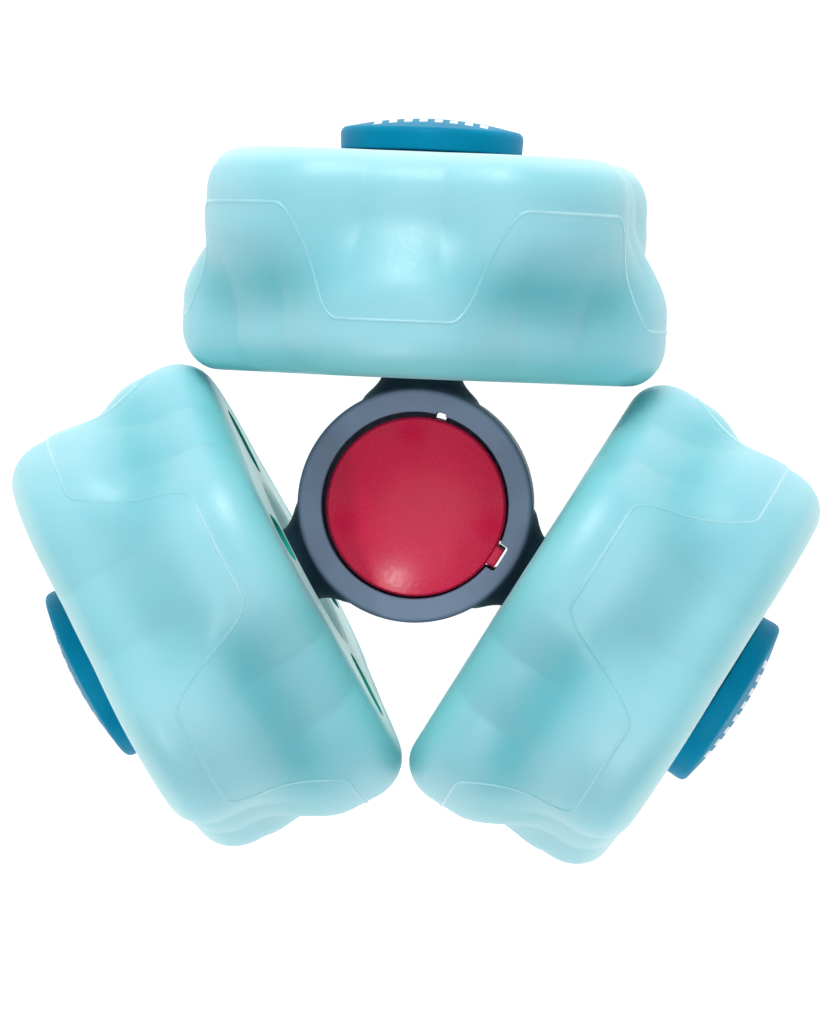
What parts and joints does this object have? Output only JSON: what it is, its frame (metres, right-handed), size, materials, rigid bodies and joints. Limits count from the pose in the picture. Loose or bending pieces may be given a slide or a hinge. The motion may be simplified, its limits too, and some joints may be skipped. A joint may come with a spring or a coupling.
{
  "type": "three-wheel fidget toy",
  "caption": "Desk fidget toy: a hub ring with a sprung push button on each side carries wave-tread wheels that spin freely on radial axles.",
  "frame": {"origin": "centre of the hub ring, on its axis and at its mid-height", "axes": "+Z along the hub's axis, out of the upper button; +Y along the axle of wheel_1, outwards; +X completes the frame and crosses the widest extent"},
  "size_m": [0.0726, 0.0672, 0.0436],
  "materials": {
    "hub_plastic": "fine satin",
    "button_plastic": "fine matte grain",
    "wheel_urethane": "frosted, translucent",
    "cap_plastic": "semi-gloss",
    "steel": "ground",
    "spring_steel": "drawn wire"
  },
  "bodies": {
    "frame": {"hub_frame": "hub_plastic", "button_spring_top": "spring_steel", "button_spring_bottom": "spring_steel", "wheel_1_spacer": "steel", "wheel_1_washer": "steel", "wheel_1_axle_screw": "steel", "wheel_1_end_cap": "cap_plastic", "wheel_1_inner_bearing_inner_race": "steel", "wheel_1_outer_bearing_inner_race": "steel", "wheel_2_spacer": "steel", "wheel_2_washer": "steel", "wheel_2_axle_screw": "steel", "wheel_2_end_cap": "cap_plastic", "wheel_2_inner_bearing_inner_race": "steel", "wheel_2_outer_bearing_inner_race": "steel", "wheel_3_spacer": "steel", "wheel_3_washer": "steel", "wheel_3_axle_screw": "steel", "wheel_3_end_cap": "cap_plastic", "wheel_3_inner_bearing_inner_race": "steel", "wheel_3_outer_bearing_inner_race": "steel"},
    "button_top": {"button_top": "button_plastic"},
    "button_bottom": {"button_bottom": "button_plastic"},
    "wheel_1": {"wheel_1": "wheel_urethane", "wheel_1_inner_bearing_outer_race": "steel", "wheel_1_outer_bearing_outer_race": "steel"},
    "wheel_1_balls": {"wheel_1_inner_bearing_balls": "steel", "wheel_1_outer_bearing_balls": "steel"},
    "wheel_2": {"wheel_2": "wheel_urethane", "wheel_2_inner_bearing_outer_race": "steel", "wheel_2_outer_bearing_outer_race": "steel"},
    "wheel_2_balls": {"wheel_2_inner_bearing_balls": "steel", "wheel_2_outer_bearing_balls": "steel"},
    "wheel_3": {"wheel_3": "wheel_urethane", "wheel_3_inner_bearing_outer_race": "steel", "wheel_3_outer_bearing_outer_race": "steel"},
    "wheel_3_balls": {"wheel_3_inner_bearing_balls": "steel", "wheel_3_outer_bearing_balls": "steel"}
  },
  "joints": [
    {"name": "wheel_1_spin", "type": "hinge", "parent": "frame", "child": "wheel_1", "pos_m": [0, 0.0214, 0], "axis": [0, 1, 0], "continuous": true},
    {"name": "wheel_1_ball_spin", "type": "hinge", "parent": "frame", "child": "wheel_1_balls", "pos_m": [0, 0.0214, 0], "axis": [0, 1, 0], "continuous": true},
    {"name": "wheel_2_spin", "type": "hinge", "parent": "frame", "child": "wheel_2", "pos_m": [0.01853, -0.0107, 0], "axis": [0.866, -0.5, 0], "continuous": true},
    {"name": "wheel_2_ball_spin", "type": "hinge", "parent": "frame", "child": "wheel_2_balls", "pos_m": [0.01853, -0.0107, 0], "axis": [0.866, -0.5, 0], "continuous": true},
    {"name": "wheel_3_spin", "type": "hinge", "parent": "frame", "child": "wheel_3", "pos_m": [-0.01853, -0.0107, 0], "axis": [-0.866, -0.5, 0], "continuous": true},
    {"name": "wheel_3_ball_spin", "type": "hinge", "parent": "frame", "child": "wheel_3_balls", "pos_m": [-0.01853, -0.0107, 0], "axis": [-0.866, -0.5, 0], "continuous": true},
    {"name": "button_top_press", "type": "slide", "parent": "frame", "child": "button_top", "axis": [0, 0, -1], "range_m": [0, 0.0008], "stiffness_N_per_m": 1200, "springref_m": -0.0008, "deforming": ["button_spring_top"]},
    {"name": "button_bottom_press", "type": "slide", "parent": "frame", "child": "button_bottom", "axis": [0, 0, 1], "range_m": [0, 0.0008], "stiffness_N_per_m": 1200, "springref_m": -0.0008, "deforming": ["button_spring_bottom"]}
  ],
  "couplings": [
    {"joint": "wheel_1_ball_spin", "follows": "wheel_1_spin", "ratio": 0.6226},
    {"joint": "wheel_2_ball_spin", "follows": "wheel_2_spin", "ratio": 0.6226},
    {"joint": "wheel_3_ball_spin", "follows": "wheel_3_spin", "ratio": 0.6226}
  ]
}
